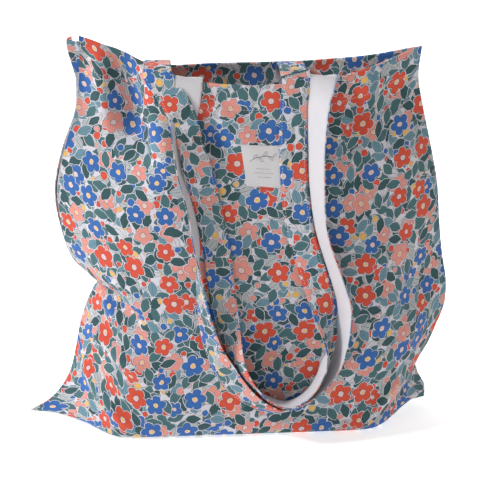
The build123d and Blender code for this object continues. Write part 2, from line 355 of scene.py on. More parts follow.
def cloth_sheet(name, grid, uv, thick, face, lining, away):
    """grid and uv in mm, rows by columns; the face looks to the side of the point away."""
    rows, cols = grid.shape[:2]
    bpy.ops.mesh.primitive_grid_add(x_subdivisions=cols - 1, y_subdivisions=rows - 1, size=1)
    sheet = bpy.context.object
    sheet.name = sheet.data.name = name
    mesh = sheet.data
    mesh.vertices.foreach_set("co", (grid * MM).astype(np.float32).ravel())
    layer = mesh.uv_layers.active
    layer.name = "cloth"
    loops = np.zeros(len(mesh.loops), np.int32)
    mesh.loops.foreach_get("vertex_index", loops)
    layer.data.foreach_set("uv", (uv.reshape(-1, 2)[loops] * MM).astype(np.float32).ravel())
    mesh.update()
    middle = mesh.polygons[len(mesh.polygons) // 2]
    if middle.normal.dot(mathutils.Vector(away)) < 0:
        mesh.flip_normals()
    mesh.materials.append(face)
    mesh.materials.append(lining)
    thicken = sheet.modifiers.new("thickness", "SOLIDIFY")
    thicken.thickness = thick * MM
    thicken.offset = 0
    thicken.material_offset = 1
    thicken.material_offset_rim = 0
    bpy.ops.object.modifier_apply(modifier=thicken.name)
    bpy.ops.object.shade_smooth_by_angle(angle=math.radians(SMOOTH_BELOW))
    sheet.select_set(False)
    return sheet


print("a panel is a sheet of", (ACROSS - 1) * (UP - 1), "squares before it gets its thickness")

# %% [markdown]
# ## Mixing shader nodes in a few words
# The print and the weaves are sums of many small nodes. Written out one by one they would
# fill pages, so a recipe object keeps the node tree and offers the few moves that repeat:
# `calc` for one number and `blend_colour` for one colour laid over another.

# %% Node helpers
class Recipe:
    """A material being mixed: its node tree and the few moves that the recipes share."""

    def __init__(self, name):
        self.material = bpy.data.materials.new(name)
        self.material.use_nodes = True
        self.tree = self.material.node_tree
        self.shader = self.tree.nodes["Principled BSDF"]

    def node(self, kind, **settings):
        made = self.tree.nodes.new(kind)
        for key, value in settings.items():
            setattr(made, key, value)
        return made

    def plug(self, source, socket):
        if isinstance(source, bpy.types.NodeSocket):
            self.tree.links.new(source, socket)
        else:
            socket.default_value = source

    def calc(self, operation, *values):
        made = self.node("ShaderNodeMath", operation=operation)
        for value, socket in zip(values, made.inputs):
            self.plug(value, socket)
        return made.outputs[0]

    def blend_colour(self, share, under, over):
        made = self.node("ShaderNodeMix", data_type="RGBA")
        self.plug(share, made.inputs["Factor"])
        self.plug(under, made.inputs[6])
        self.plug(over, made.inputs[7])
        return made.outputs[2]

    def cloth_map(self):
        return self.node("ShaderNodeUVMap", uv_map="cloth").outputs[0]


print("moves:", [move for move in vars(Recipe) if not move.startswith("_")])

# %% [markdown]
# ## Colours from chips
# Printers name inks by chips, written as hex codes. A shader works with linear light, so each
# code is decoded with the sRGB curve before it is plugged in.

# %% Read a colour chip
def colour(hex_code):
    """A paint chip's hex code as linear colour with alpha."""
    parts = [int(hex_code[i:i + 2], 16) / 255 for i in (0, 2, 4)]
    return (*[p / 12.92 if p <= 0.04045 else ((p + 0.055) / 1.055) ** 2.4 for p in parts], 1)


ground = colour("D6D4DC")
inks = {
    "blue": colour("3A6BB0"), "coral": colour("D9553F"), "salmon": colour("E4978A"),
    "leaf": colour("4A7074"), "leaf_dark": colour("38585B"), "leaf_blue": colour("6C919F"),
    "grey": colour("B4B9BA"), "ochre": colour("E9B865"), "line": colour("2F3A40"),
    "heart": colour("DCC9CE"), "pollen": colour("F0C24E"),
    "pale_grey": colour("CDCED4"), "pale_lilac": colour("D0D0D6"), "faded": colour("E4E1E4"),
}
print(len(inks), "inks on a pale lilac ground")

# %% [markdown]
# ## Hand-drawn edges
# The motifs of such a print are drawn by hand before they are printed, so no edge is ruled
# and no circle is true. A fine noise moves the map by up to two millimetres before any motif
# is drawn on it.

# %% A wobble for the map
WOBBLE = 0.0022  # metres


def hand_drawn(mix):
    """The cloth map with a slight wobble, so that no motif's edge is ruled."""
    noise = mix.node("ShaderNodeTexNoise")
    noise.inputs["Scale"].default_value = 230
    noise.inputs["Detail"].default_value = 1
    mix.plug(mix.cloth_map(), noise.inputs["Vector"])
    wobble = mix.node("ShaderNodeVectorMath", operation="MULTIPLY_ADD")
    mix.plug(noise.outputs["Color"], wobble.inputs[0])
    wobble.inputs[1].default_value = (WOBBLE, WOBBLE, 0)
    mix.plug(mix.cloth_map(), wobble.inputs[2])
    return wobble.outputs[0]


print("edges wander by up to", round(WOBBLE / MM, 1), "mm")

# %% [markdown]
# ## One cell for each motif
# The cloth is printed all over with small flowers, leaves and berries that nearly touch. A
# Voronoi texture deals out one cell per motif. The offset from the cell's own point, turned
# by the cell's random angle, is a little map on which the motif can be drawn, and the cell's
# random colour picks its ink and its size.

# %% The nearest motif
def motif_cell(mix, spacing, shift, loose):
    """Local x and y of the nearest motif, its distance, and its random colour's channels."""
    moved = mix.node("ShaderNodeVectorMath", operation="ADD")
    mix.plug(mix.wobbly, moved.inputs[0])
    moved.inputs[1].default_value = (shift, shift * 0.37, 0)
    cells = mix.node("ShaderNodeTexVoronoi", voronoi_dimensions="2D", feature="F1")
    cells.inputs["Scale"].default_value = 1 / spacing
    cells.inputs["Randomness"].default_value = loose
    mix.plug(moved.outputs[0], cells.inputs["Vector"])
    local = mix.node("ShaderNodeVectorMath", operation="SUBTRACT")
    mix.plug(moved.outputs[0], local.inputs[0])
    mix.plug(cells.outputs["Position"], local.inputs[1])
    chance = mix.node("ShaderNodeSeparateColor")
    mix.plug(cells.outputs["Color"], chance.inputs[0])
    spin = mix.node("ShaderNodeVectorRotate", rotation_type="Z_AXIS")
    mix.plug(local.outputs[0], spin.inputs["Vector"])
    mix.plug(mix.calc("MULTIPLY", chance.outputs[0], 2 * math.pi), spin.inputs["Angle"])
    place = mix.node("ShaderNodeSeparateXYZ")
    mix.plug(spin.outputs[0], place.inputs[0])
    x, y = place.outputs[0], place.outputs[1]
    away = mix.calc("SQRT", mix.calc("ADD", mix.calc("MULTIPLY", x, x), mix.calc("MULTIPLY", y, y)))
    return x, y, away, chance.outputs


def chosen(mix, chance, picks):
    """One of several colours, by chance: picks are (share up to, colour)."""
    result = picks[-1][1]
    for limit, ink in reversed(picks[:-1]):
        result = mix.blend_colour(mix.calc("LESS_THAN", chance, limit), result, ink)
    return result


print("motif cells give x, y, distance and three chances")

# %% [markdown]
# ## Flowers
# Each flower has five round petals, a fine dark outline, lines between the petals, and a pale
# heart with a yellow dot. The petals come from the cosine of the angle round the flower, so
# they need no outline of points, and a pale halo keeps each flower apart from its neighbours.

# %% Flower layer
def flower_layer(mix, under, spacing, shift, radius, picks, petals=5, loose=0.6,
                 halo=0.0007, outline=0.00045):
    """Five-petalled flowers with a pale halo, a fine outline and a pale heart."""
    x, y, away, chance = motif_cell(mix, spacing, shift, loose)
    angle = mix.calc("ARCTAN2", y, x)
    lobe = mix.calc("ABSOLUTE", mix.calc("COSINE", mix.calc("MULTIPLY", angle, petals / 2)))
    lobe = mix.calc("POWER", lobe, 0.62)
    size = mix.calc("MULTIPLY_ADD", chance[1], 0.22 * radius, 0.86 * radius)
    edge = mix.calc("MULTIPLY", size, mix.calc("MULTIPLY_ADD", lobe, 0.40, 0.60))
    inside = mix.calc("SUBTRACT", edge, away)
    result = mix.blend_colour(mix.calc("GREATER_THAN", inside, -halo), under, ground)
    ink = chosen(mix, chance[2], picks)
    dark = mix.blend_colour(0.62, ink, inks["line"])
    result = mix.blend_colour(mix.calc("GREATER_THAN", inside, 0.0), result, dark)
    result = mix.blend_colour(mix.calc("GREATER_THAN", inside, outline), result, ink)
    between = mix.calc("MULTIPLY", mix.calc("LESS_THAN", lobe, 0.20),
                       mix.calc("GREATER_THAN", inside, 0.0002))
    result = mix.blend_colour(mix.calc("MULTIPLY", between, 0.6), result, dark)
    heart = mix.calc("LESS_THAN", away, mix.calc("MULTIPLY", size, 0.30))
    result = mix.blend_colour(heart, result, dark)
    heart = mix.calc("LESS_THAN", away, mix.calc("MULTIPLY", size, 0.25))
    result = mix.blend_colour(heart, result, inks["heart"])
    share = mix.calc("MULTIPLY", mix.calc("LESS_THAN", chance[0], 0.5), 0.07)
    dot = mix.calc("LESS_THAN", away, mix.calc("MULTIPLY", size, mix.calc("ADD", share, 0.07)))
    return mix.blend_colour(dot, result, inks["pollen"])


print("flowers have", flower_layer.__defaults__[0], "petals")

# %% [markdown]
# ## Leaves and berries
# Leaves are pointed ovals with a middle vein; some are plain dark teal and some are only
# outlined in grey. Berries are dots that fill the gaps. Each is drawn with one inequality,
# and has a halo and an outline of its own, as the flowers do.

# %% Leaf and berry layers
def leaf_layer(mix, under, spacing, shift, length, width, picks, line=0.35, loose=0.85,
               halo=0.0006, outline=0.0005, half_vein=0.00022):
    """Pointed leaves with a halo, an outline and a fine middle vein."""
    x, y, away, chance = motif_cell(mix, spacing, shift, loose)
    along = mix.calc("MULTIPLY", x, x)
    along = mix.calc("DIVIDE", along, length * length)
    across = mix.calc("DIVIDE", mix.calc("ABSOLUTE", y), width)
    reach = mix.calc("ADD", along, across)
    result = mix.blend_colour(mix.calc("LESS_THAN", reach, 1.0 + halo / width), under, ground)
    ink = chosen(mix, chance[2], picks)
    dark = mix.blend_colour(line, ink, inks["line"])
    result = mix.blend_colour(mix.calc("LESS_THAN", reach, 1.0), result, dark)
    result = mix.blend_colour(mix.calc("LESS_THAN", reach, 1.0 - outline / width), result, ink)
    vein = mix.calc("MULTIPLY", mix.calc("LESS_THAN", across, half_vein / width),
                    mix.calc("LESS_THAN", along, 0.6))
    return mix.blend_colour(vein, result, dark)


def berry_layer(mix, under, spacing, shift, radius, picks, loose=0.9,
                halo=0.0005, outline=0.0004):
    """Small round berries."""
    x, y, away, chance = motif_cell(mix, spacing, shift, loose)
    size = mix.calc("MULTIPLY_ADD", chance[1], 0.4 * radius, 0.75 * radius)
    inside = mix.calc("SUBTRACT", size, away)
    result = mix.blend_colour(mix.calc("GREATER_THAN", inside, -halo), under, ground)
    ink = chosen(mix, chance[2], picks)
    dark = mix.blend_colour(0.4, ink, inks["line"])
    result = mix.blend_colour(mix.calc("GREATER_THAN", inside, 0.0), result, dark)
    return mix.blend_colour(mix.calc("GREATER_THAN", inside, outline), result, ink)


print("layers:", flower_layer.__name__, leaf_layer.__name__, berry_layer.__name__)

# %% [markdown]
# ## Threads of the canvas
# Plain-weave canvas is coarse: the threads here are just under a millimetre apart. Two
# crossed waves on the cloth map give the over-and-under, and a noise stretched along the
# threads gives the thicker and thinner ones. Both are fine enough to be left to the shader:
# as geometry they would cost millions of faces.

# %% Weave and slubs
def crossed_threads(mix, cloth, pitch):
    """Two crossed waves, one thread's pitch apart."""
    heights = []
    for direction in ("X", "Y"):
        wave = mix.node("ShaderNodeTexWave", wave_type="BANDS", bands_direction=direction)
        # at a scale of 1 a wave texture repeats every 2 pi / 20 metres
        wave.inputs["Scale"].default_value = 2 * math.pi / (20 * pitch)
        wave.inputs["Distortion"].default_value = 0.6
        wave.inputs["Detail"].default_value = 1
        mix.plug(cloth, wave.inputs["Vector"])
        heights.append(wave.outputs["Fac"])
    return mix.calc("MULTIPLY", heights[0], heights[1])


def slub_threads(mix, cloth):
    """Noise drawn out along the threads."""
    threads = mix.node("ShaderNodeMapping")
    threads.inputs["Scale"].default_value = (90, 1400, 1)
    mix.plug(cloth, threads.inputs["Vector"])
    uneven = mix.node("ShaderNodeTexNoise")
    uneven.inputs["Scale"].default_value = 1.0
    uneven.inputs["Detail"].default_value = 3
    mix.plug(threads.outputs[0], uneven.inputs["Vector"])
    return uneven.outputs[0]


print("threads are drawn by", crossed_threads.__name__, "and", slub_threads.__name__)

# %% [markdown]
# ## A matt, slightly fuzzy surface
# Cotton is matt, with a little sheen where the light grazes its fibres. The gaps between the
# threads are darkened with painted shade, the threads lift the surface in a bump, and they
# make the roughness uneven, so that nothing on the cloth is quite uniform.

# %% Finish a cloth
def shaded(mix, paint, tone_and_weave_shade):
    """A colour multiplied by one number."""
    grey = mix.node("ShaderNodeCombineColor")
    for socket in grey.inputs:
        mix.plug(tone_and_weave_shade, socket)
    tone = mix.node("ShaderNodeMix", data_type="RGBA", blend_type="MULTIPLY")
    tone.inputs["Factor"].default_value = 1
    mix.plug(paint, tone.inputs[6])
    mix.plug(grey.outputs[0], tone.inputs[7])
    return tone.outputs[2]


def add_weave(mix, paint, pitch, strength, slub=0.05):
    """Finish a cloth: weave bump, painted shade in the weave's gaps, uneven threads in its colour, and a
    matt shader.
    """
    cloth = mix.cloth_map()
    weave = crossed_threads(mix, cloth, pitch)
    uneven = slub_threads(mix, cloth)
    tone_and_weave_shade = mix.calc("MULTIPLY_ADD", uneven, 2 * slub, 1 - slub)
    # painted shade: the weave darkens the colour in its gaps and lightens it a little on its crossings
    tone_and_weave_shade = mix.calc("MULTIPLY", tone_and_weave_shade, mix.calc("MULTIPLY_ADD", weave, 0.10, 0.93))
    mix.plug(shaded(mix, paint, tone_and_weave_shade), mix.shader.inputs["Base Color"])
    raised = mix.node("ShaderNodeBump")
    raised.inputs["Strength"].default_value = strength
    raised.inputs["Distance"].default_value = 0.0004
    height = mix.calc("ADD", weave, mix.calc("MULTIPLY", uneven, 0.6))
    mix.plug(height, raised.inputs["Height"])
    mix.plug(raised.outputs[0], mix.shader.inputs["Normal"])
    mix.plug(mix.calc("MULTIPLY_ADD", uneven, 0.14, 0.80), mix.shader.inputs["Roughness"])
    mix.shader.inputs["Specular IOR Level"].default_value = 0.25
    mix.shader.inputs["Sheen Weight"].default_value = 0.12
    mix.shader.inputs["Sheen Roughness"].default_value = 0.5
    return mix.material


print("cloth shader ready:", add_weave.__name__)

# %% [markdown]
# ## The flower print
# The print is painted as a printer lays screens: pale outlined leaves and berries first, then
# teal leaves and more berries, then flowers with further leaves between them, and the biggest
# flowers last. Each layer has its halo over the one below. The layers' cells are shifted
# against each other so that motifs overlap as if they had been placed by eye. The wrong side
# of the cloth shows the same print, paled, because the ink only partly soaks through.

# %% Print on canvas, and its wrong side
def printed_cotton(name, fade):
    """The flower print on canvas; fade pales it for the wrong side of the cloth."""
    mix = Recipe(name)
    mix.wobbly = hand_drawn(mix)
    paint = ground
    paint = leaf_layer(mix, paint, 0.0125, 0.31, 0.0080, 0.0044,
                       [(0.7, inks["grey"]), (1, inks["pale_grey"])], line=0.7)
    paint = berry_layer(mix, paint, 0.0140, 1.77, 0.0029,
                        [(0.3, inks["salmon"]), (0.6, inks["ochre"]), (1, inks["coral"])])
    paint = leaf_layer(mix, paint, 0.0125, 0.73, 0.0074, 0.0040,
                       [(0.45, inks["leaf"]), (0.75, inks["leaf_dark"]), (1, inks["leaf_blue"])])
    paint = leaf_layer(mix, paint, 0.0210, 4.61, 0.0080, 0.0044,
                       [(0.8, inks["grey"]), (1, inks["pale_lilac"])], line=0.7)
    paint = leaf_layer(mix, paint, 0.0165, 1.37, 0.0082, 0.0044,
                       [(0.5, inks["leaf"]), (0.8, inks["leaf_dark"]), (1, inks["leaf_blue"])])
    paint = berry_layer(mix, paint, 0.0165, 2.11, 0.0031,
                        [(0.5, inks["coral"]), (0.65, inks["salmon"]), (0.85, inks["ochre"]),
                         (1, inks["blue"])])
    paint = flower_layer(mix, paint, 0.0320, 2.90, 0.0088,
                         [(0.66, inks["salmon"]), (0.82, inks["coral"]), (1, inks["blue"])])
    paint = leaf_layer(mix, paint, 0.0200, 6.17, 0.0078, 0.0042,
                       [(0.5, inks["leaf"]), (0.8, inks["leaf_dark"]), (1, inks["leaf_blue"])])
    paint = flower_layer(mix, paint, 0.0325, 3.83, 0.0102,
                         [(0.50, inks["blue"]), (0.86, inks["coral"]), (1, inks["salmon"])])
    if fade:
        paint = mix.blend_colour(fade, paint, inks["faded"])
    return add_weave(mix, paint, pitch=0.0009, strength=0.35)


print_outside = printed_cotton("printed cotton", 0)
print_reverse = printed_cotton("printed cotton, wrong side", 0.55)
print("print:", print_outside.name, "/", print_reverse.name)

# %% [markdown]
# ## White twill tape and label cloth
# The straps are lined with plain white twill, and the label is a finer, greyer cloth. Both
# are woven by the same nodes as the canvas, at a finer pitch, over a faint cloudiness,
# because undyed cotton is never one flat white.

# %% Plain cloths
def plain_cloth(name, chip, pitch, strength, slub):
    """An undyed cloth with a faint stain in its colour."""
    mix = Recipe(name)
    stain = mix.node("ShaderNodeTexNoise")
    stain.inputs["Scale"].default_value = 60
    mix.plug(mix.cloth_map(), stain.inputs["Vector"])
    paint = mix.blend_colour(mix.calc("MULTIPLY", stain.outputs[0], 0.18), colour(chip),
                             colour("D8CFC8"))
    return add_weave(mix, paint, pitch, strength, slub)


white_twill = plain_cloth("white twill tape", "D9D7DC", 0.0008, 0.45, 0.05)
label_cloth = plain_cloth("label cloth", "DAD8DA", 0.0006, 0.25, 0.03)
print("plain cloths:", white_twill.name, "/", label_cloth.name)

# %% [markdown]
# ## Sewing thread
# Thread is two or three yarns plied together, so it has slanting stripes of light and shade.
# A diagonal wave in the object's own coordinates is enough at this size.

# %% Spun thread
def spun_thread(name, chip):
    """Sewing thread: a plied twist across the strand."""
    mix = Recipe(name)
    where = mix.node("ShaderNodeTexCoord").outputs["Object"]
    twist = mix.node("ShaderNodeTexWave", bands_direction="DIAGONAL")
    twist.inputs["Scale"].default_value = 700
    mix.plug(where, twist.inputs["Vector"])
    paint = mix.blend_colour(mix.calc("MULTIPLY", twist.outputs["Fac"], 0.25), colour(chip),
                             colour("8F8C94"))
    mix.plug(paint, mix.shader.inputs["Base Color"])
    mix.shader.inputs["Roughness"].default_value = 0.6
    mix.shader.inputs["Sheen Weight"].default_value = 0.2
    return mix.material


white_thread = spun_thread("white sewing thread", "DFDCE4")
dark_thread = spun_thread("dark embroidery thread", "3B3B42")
print("threads:", white_thread.name, "/", dark_thread.name)

# %% [markdown]
# ## Hems
# At the mouth each panel turns over to the inside and becomes its own hem, 25 mm deep, so the
# hem shows the printed side of the cloth to whoever looks into the bag. The hem could be a
# separate strip, but then its folded edge would show a seam that the real bag does not have,
# so rows are added beyond the mouth and carried round to the inside.

# %% Rows of the turned-in hem
CLOTH = 0.8
HEM = 25.0


def with_hem(grid, side):
    """Rows added beyond the mouth: over the edge, then down the inside of the panel."""
    dv = grid[-1] - grid[-2]
    up = dv / np.linalg.norm(dv, axis=-1, keepdims=True)
    du = np.gradient(grid[-1], axis=0)
    out = np.cross(du, up) * (1 if side < 0 else -1)
    out /= np.linalg.norm(out, axis=-1, keepdims=True)
    edge = ramp(1 - np.abs(np.linspace(-1, 1, grid.shape[1])), 0.0, 0.06)[:, None]
    turn = 0.35 + 0.55 * edge
    rows = []
    for angle in np.radians([30, 60, 90, 120, 150, 180]):
        rows.append(grid[-1] + up * turn * math.sin(angle) - out * turn * (1 - math.cos(angle)))
    step = np.linalg.norm(dv, axis=-1).mean()
    for k in range(1, int(HEM / step) + 1):
        rows.append(grid[-1 - k] - out * turn * 2)
    return np.concatenate([grid, np.stack(rows)])


print("hem adds", len(with_hem(front_grid, -1)) - UP, "rows to each panel")

# %% [markdown]
# ## Sew the panels
# The two panels get their thickness and their print. Each one is cut from another stretch of
# the printed cloth, so the motifs do not match at the seams.

# %% Front and back panel
MAP_ROW = 100  # the row from which the print is measured up and down
CUT_APART = 300  # half the distance between the two cuts on the printed cloth, mm


def sewn_panel(name, grid, side):
    """A panel with its hem, mapped from the middle of the cloth outwards."""
    full = with_hem(grid, side)
    up = along_rows(full, MAP_ROW)
    across = along_columns(full, full.shape[1] // 2)
    uv = np.stack([across + CUT_APART * (side + 1), up], axis=-1)
    return cloth_sheet(name, full, uv, CLOTH, print_outside, print_reverse, (0, side, 0))


front_panel = sewn_panel("front_cloth", front_grid, -1)
back_panel = sewn_panel("back_cloth", back_grid, 1)
print("panels:", [len(p.data.polygons) for p in (front_panel, back_panel)], "faces")

# %% [markdown]
# ## Feel for the front wall
# The straps hang against the front of the bag, and the label is sewn to it, so both must know
# where the wall is. A ray sent at the panel from the front answers that for any place, which
# is safer than a formula now that the creases have moved the cloth.

# %% Where the wall and the mouth are
def surface_finder(grid):
    """A function that finds how far forward the smooth panel stands at (x, z)."""
    rows, cols = grid.shape[:2]
    index = np.arange(rows * cols).reshape(rows, cols)
    quads = np.stack([index[:-1, :-1], index[:-1, 1:], index[1:, 1:], index[1:, :-1]], axis=-1)
    tree = mathutils.bvhtree.BVHTree.FromPolygons(
        grid.reshape(-1, 3).tolist(), quads.reshape(-1, 4).tolist())

    def find(x, z):
        hit = tree.ray_cast(mathutils.Vector((x, -300, z)), mathutils.Vector((0, 1, 0)))
        return hit[0].y if hit[0] else None
    return find


front_surface = surface_finder(front_grid)


def mouth_at(grid, x):
    """Height and depth of a panel's mouth edge at x."""
    edge = grid[-1]
    order = np.argsort(edge[:, 0])
    return (float(np.interp(x, edge[order, 0], edge[order, 2])),
            float(np.interp(x, edge[order, 0], edge[order, 1])))


def in_front(x, z):
    """The front panel's y at (x, z), or at its mouth if z is above it."""
    top, _ = mouth_at(front_grid, x)
    return front_surface(x, min(z, top - 1.5))


print("front wall at the middle:", [round(in_front(0, z), 1) for z in (60, 180, 300)], "mm")

# %% [markdown]
# ## Straps: from a route to a band
# A strap is 25 mm wide: a printed cover with its edges turned towards a white twill lining.
# It hangs over the mouth and down the front in a long loop, and twists on the way: `turn` is
# 0 where it shows the lining to someone in front of the bag, 180 where it shows the cover,
# and 90 where it stands on edge with its lining inside the loop.
# Each station is a place on the front wall, a clearance from it and a turn. The half width
# that a turned strap needs in front of the wall is added, so a strap on edge never cuts into
# the cloth.

# %% Stations of a loop
hinges = {j["name"]: j for j in frame["record"]["behaviour"]["joints"]}
front_fold = np.array(hinges["front_handle_lift"]["pos_m"])
back_fold = np.array(hinges["back_handle_lift"]["pos_m"])
FOLD_Z = float(front_fold[2]) / MM
STRAP = 25.0
WALL_LEAN = 0.083  # how far the front wall leans back for each millimetre up
wall_out = np.array([0, -1, WALL_LEAN])
wall_out /= np.linalg.norm(wall_out)


def loop_stations(route):
    """(x, down from the fold, clearance, turn) as middles and lining directions."""
    middles, turns = [], []
    for x, down, clear, turn in route:
        z = FOLD_Z - down
        reach = STRAP / 2 * abs(math.sin(math.radians(turn)))
        half = STRAP / 2 * abs(math.cos(math.radians(turn)))
        wall = min(in_front(x + dx, z) for dx in (-half, -half / 2, 0, half / 2, half))
        middles.append((x, wall - clear - reach, z))
        turns.append(turn)
    middles = np.array(middles, float)
    run = np.gradient(middles, axis=0)
    run /= np.linalg.norm(run, axis=-1, keepdims=True)
    facing = wall_out - run * (run @ wall_out)[:, None]
    facing /= np.linalg.norm(facing, axis=-1, keepdims=True)
    angle = np.radians(turns)[:, None]
    lining = facing * np.cos(angle) - np.cross(run, facing) * np.sin(angle)
    return middles, lining


print("the front strap folds over at", np.round(front_fold / MM, 1), "mm")

# %% [markdown]
# ## Even steps and a square section
# The listed stations are uneven, and their lining directions are not exactly square to the run
# of the strap. The strap is walked in 3 mm steps, and at each step the lining's direction is
# made square to the way ahead, so that the band keeps its width round the loop.

# %% A smooth strap
def smooth_strap(middles, lining, step=3.0):
    """Even steps along the strap, with its lining direction square to it."""
    run = np.concatenate([[0], np.cumsum(np.linalg.norm(np.diff(middles, axis=0), axis=1))])
    at = np.linspace(0, run[-1], int(run[-1] / step))
    middle = np.stack([smooth_rows(run, middles[:, k], at) for k in range(3)], axis=-1)
    way = np.stack([smooth_rows(run, lining[:, k], at) for k in range(3)], axis=-1)
    ahead = np.gradient(middle, axis=0)
    ahead /= np.linalg.norm(ahead, axis=-1, keepdims=True)
    way -= ahead * np.sum(way * ahead, axis=-1, keepdims=True)
    way /= np.linalg.norm(way, axis=-1, keepdims=True)
    return middle, way, np.cross(way, ahead)


print("a strap is walked in steps of", smooth_strap.__defaults__[0], "mm")

# %% [markdown]
# ## Cover and lining as two bands
# Cover and lining are two sheets that lie against each other, as they are sewn. The cover is
# a little wider and its last millimetre curls over the lining, which leaves the narrow
# printed rim that frames the white twill.

# %% Ribbons
def ribbon_grid(strap, width, lift, edge_turn, steps=10):
    """A grid across and along a strap; edge_turn curls the last millimetre to the lining."""
    middle, way, across = strap
    w = np.linspace(-1, 1, steps + 1)
    w = np.sign(w) * np.abs(w) ** 0.85
    raise_by = lift + edge_turn * ramp(np.abs(w), 0.90, 1.0)
    return (middle[:, None] + across[:, None] * (w * width / 2)[None, :, None]
            + way[:, None] * raise_by[None, :, None])


def ribbon_sheet(name, strap, width, lift, edge_turn, thick, face, lining, face_side, start=0.0):
    """face_side is 1 if the face looks the way of the lining, -1 if it looks away from it."""
    grid = ribbon_grid(strap, width, lift, edge_turn)
    along = along_rows(grid, 0)[:, [grid.shape[1] // 2]] + np.zeros(grid.shape[:2])
    uv = np.stack([along_columns(grid, grid.shape[1] // 2), along + start], axis=-1)
    centre = grid.shape[0] // 2
    away = strap[1][centre] * face_side
    return cloth_sheet(name, grid, uv, thick, face, lining, tuple(away))


print("a ribbon has", ribbon_grid.__defaults__[-1], "strips across")

# %% [markdown]
# ## The two routes
# The front handle comes out of the mouth showing its white lining, turns on edge, and swings
# round at the bottom of the loop. The back handle comes over the mouth showing its printed
# cover, crosses in front of the other and hangs inside its loop. The stations are listed one
# by one, closest together where the strap turns.

# %% Stations of both handles
# each station: x, down from the fold, clearance from the wall, turn in degrees
front_route = [
    (-51, 4, 1.6, 0), (-53, 22, 1.6, 0), (-56, 38, 1.6, 8), (-60, 52, 1.6, 35),
    (-62.5, 62, 1.6, 62), (-63, 73, 1.6, 78), (-61, 88, 1.6, 81), (-57, 102, 1.6, 80),
    (-53, 118, 1.6, 79), (-49, 140, 1.6, 76), (-46.5, 160, 1.6, 80), (-45, 182, 1.6, 100),
    (-43, 206, 1.6, 110), (-39, 230, 1.8, 122), (-33, 254, 2.0, 134), (-22, 277, 2.2, 146),
    (-12, 292, 2.2, 144), (0, 304, 2.2, 136), (17, 314.5, 2.2, 124), (31, 318, 2.2, 115),
    (47, 312, 1.8, 106), (63, 301, 1.6, 96), (77, 283, 1.6, 82), (85, 267, 1.6, 76),
    (89, 252, 1.6, 74), (90.5, 234, 1.6, 68), (90, 214, 1.6, 65), (84, 192, 1.6, 67),
    (76, 169, 1.6, 69), (69.5, 148, 1.6, 70), (66, 128, 1.6, 68), (64, 101, 1.6, 62),
    (63.5, 73, 1.6, 58), (64, 44, 1.6, 50), (66, 22, 1.6, 36), (70, 4, 1.6, 8),
]
back_route = [
    (-79, 2, 4.2, 180), (-72, 11, 4.8, 180), (-63, 26, 5.6, 182), (-56, 42, 7.0, 190),
    (-51.5, 58, 9.0, 203), (-47, 74, 8.0, 200), (-42.5, 92, 5.0, 188), (-38.5, 108, 3.4, 180),
    (-34.5, 128, 3.0, 180), (-30.5, 148, 3.0, 180), (-27, 168, 3.0, 180), (-25, 190, 3.0, 176),
    (-22.5, 212, 3.0, 166), (-19, 233, 3.0, 152), (-15, 254, 3.0, 136), (-8, 273, 3.5, 120),
    (4, 290, 4.0, 108), (20, 304, 4.0, 98), (37, 310, 4.0, 95), (54, 302, 4.0, 94),
    (65, 288, 4.0, 90), (72, 271, 3.5, 88), (75.5, 257, 3.0, 104), (75, 241, 3.0, 124),
    (72, 225, 3.0, 140), (68, 210, 2.6, 160), (63.5, 193, 2.4, 172), (58, 175, 2.4, 178),
    (52, 157, 2.4, 180), (47.5, 136, 2.4, 180), (44.5, 112, 2.4, 180), (43, 80, 2.4, 180),
    (43, 45, 2.4, 180), (44.5, 20, 2.6, 180), (46, 3, 3.4, 180),
]
print("stations:", len(front_route), "in front,", len(back_route), "for the back handle")

# %% [markdown]
# ## Roots: from the hem to the fold
# Each strap starts on the inside of the hem, 38 mm below the mouth, where a box of stitching
# holds it. The front one turns over the near edge. Its stations follow the mouth's own edge,
# so they are worked out and not written down.

# %% Front root
SEWN_IN = 38  # how far the sewn end reaches below the mouth, mm


def front_root(x):
    """Stations from the strap's sewn end up to the fold over the front mouth."""
    top, y = mouth_at(front_grid, x)
    y = min(y, in_front(x, top - 4))
    inside = 3.6
    return [
        ((x, y + inside - WALL_LEAN * SEWN_IN, top - SEWN_IN), (0, 1, 0)),
        ((x, y + inside - WALL_LEAN * 20, top - 20), (0, 1, 0)),
        ((x, y + inside, top - 3), (0, 1, 0.2)),
        ((x, y + 0.6, top + 2.4), (0, 0.2, 1)),
    ]


print("front root starts at", np.round(front_root(front_route[0][0])[0][0], 1), "mm")

# %% [markdown]
# ## The bridge over the mouth
# The back strap starts in the same way on the far edge's hem, turns over with its lining
# down, and sags a little on its way to the front edge. The gap it spans is the depth of the
# mouth at that place, so the bridge is laid out in shares of that gap.

# %% Back root
def back_root(x):
    """Stations from the sewn end in the back hem, over the mouth to the front edge."""
    top, y = mouth_at(back_grid, x)
    front_top, front_y = mouth_at(front_grid, x)
    inner = y - 3.4
    crest = max(top, front_top) + 2.4
    outer = front_y - 1.2
    gap = inner - outer
    return [
        ((x, inner + 2.6, top - SEWN_IN), (0, -1, 0)),
        ((x, inner + 1.4, top - 20), (0, -1, 0)),
        ((x, inner, top - 5), (0, -1, 0)),
        ((x, inner - 0.08 * gap, (top + crest) / 2), (0, -0.7, -0.7)),
        ((x, inner - 0.25 * gap, crest), (0, -0.1, -1)),
        ((x, inner - 0.50 * gap, (crest + max(crest - 1, front_top + 2)) / 2 - 0.5), (0, 0, -1)),
        ((x, inner - 0.80 * gap, front_top + 3.0), (0, 0.2, -1)),
        ((x, outer - 1.6, front_top + 0.6), (0, 0.8, -0.6)),
    ]


print("back root starts at", np.round(back_root(back_route[0][0])[0][0], 1), "mm")

# %% [markdown]
# ## Whole straps
# A root, the loop and the other root are joined to one run, and smoothed as one, so that no
# kink is left at the joins.

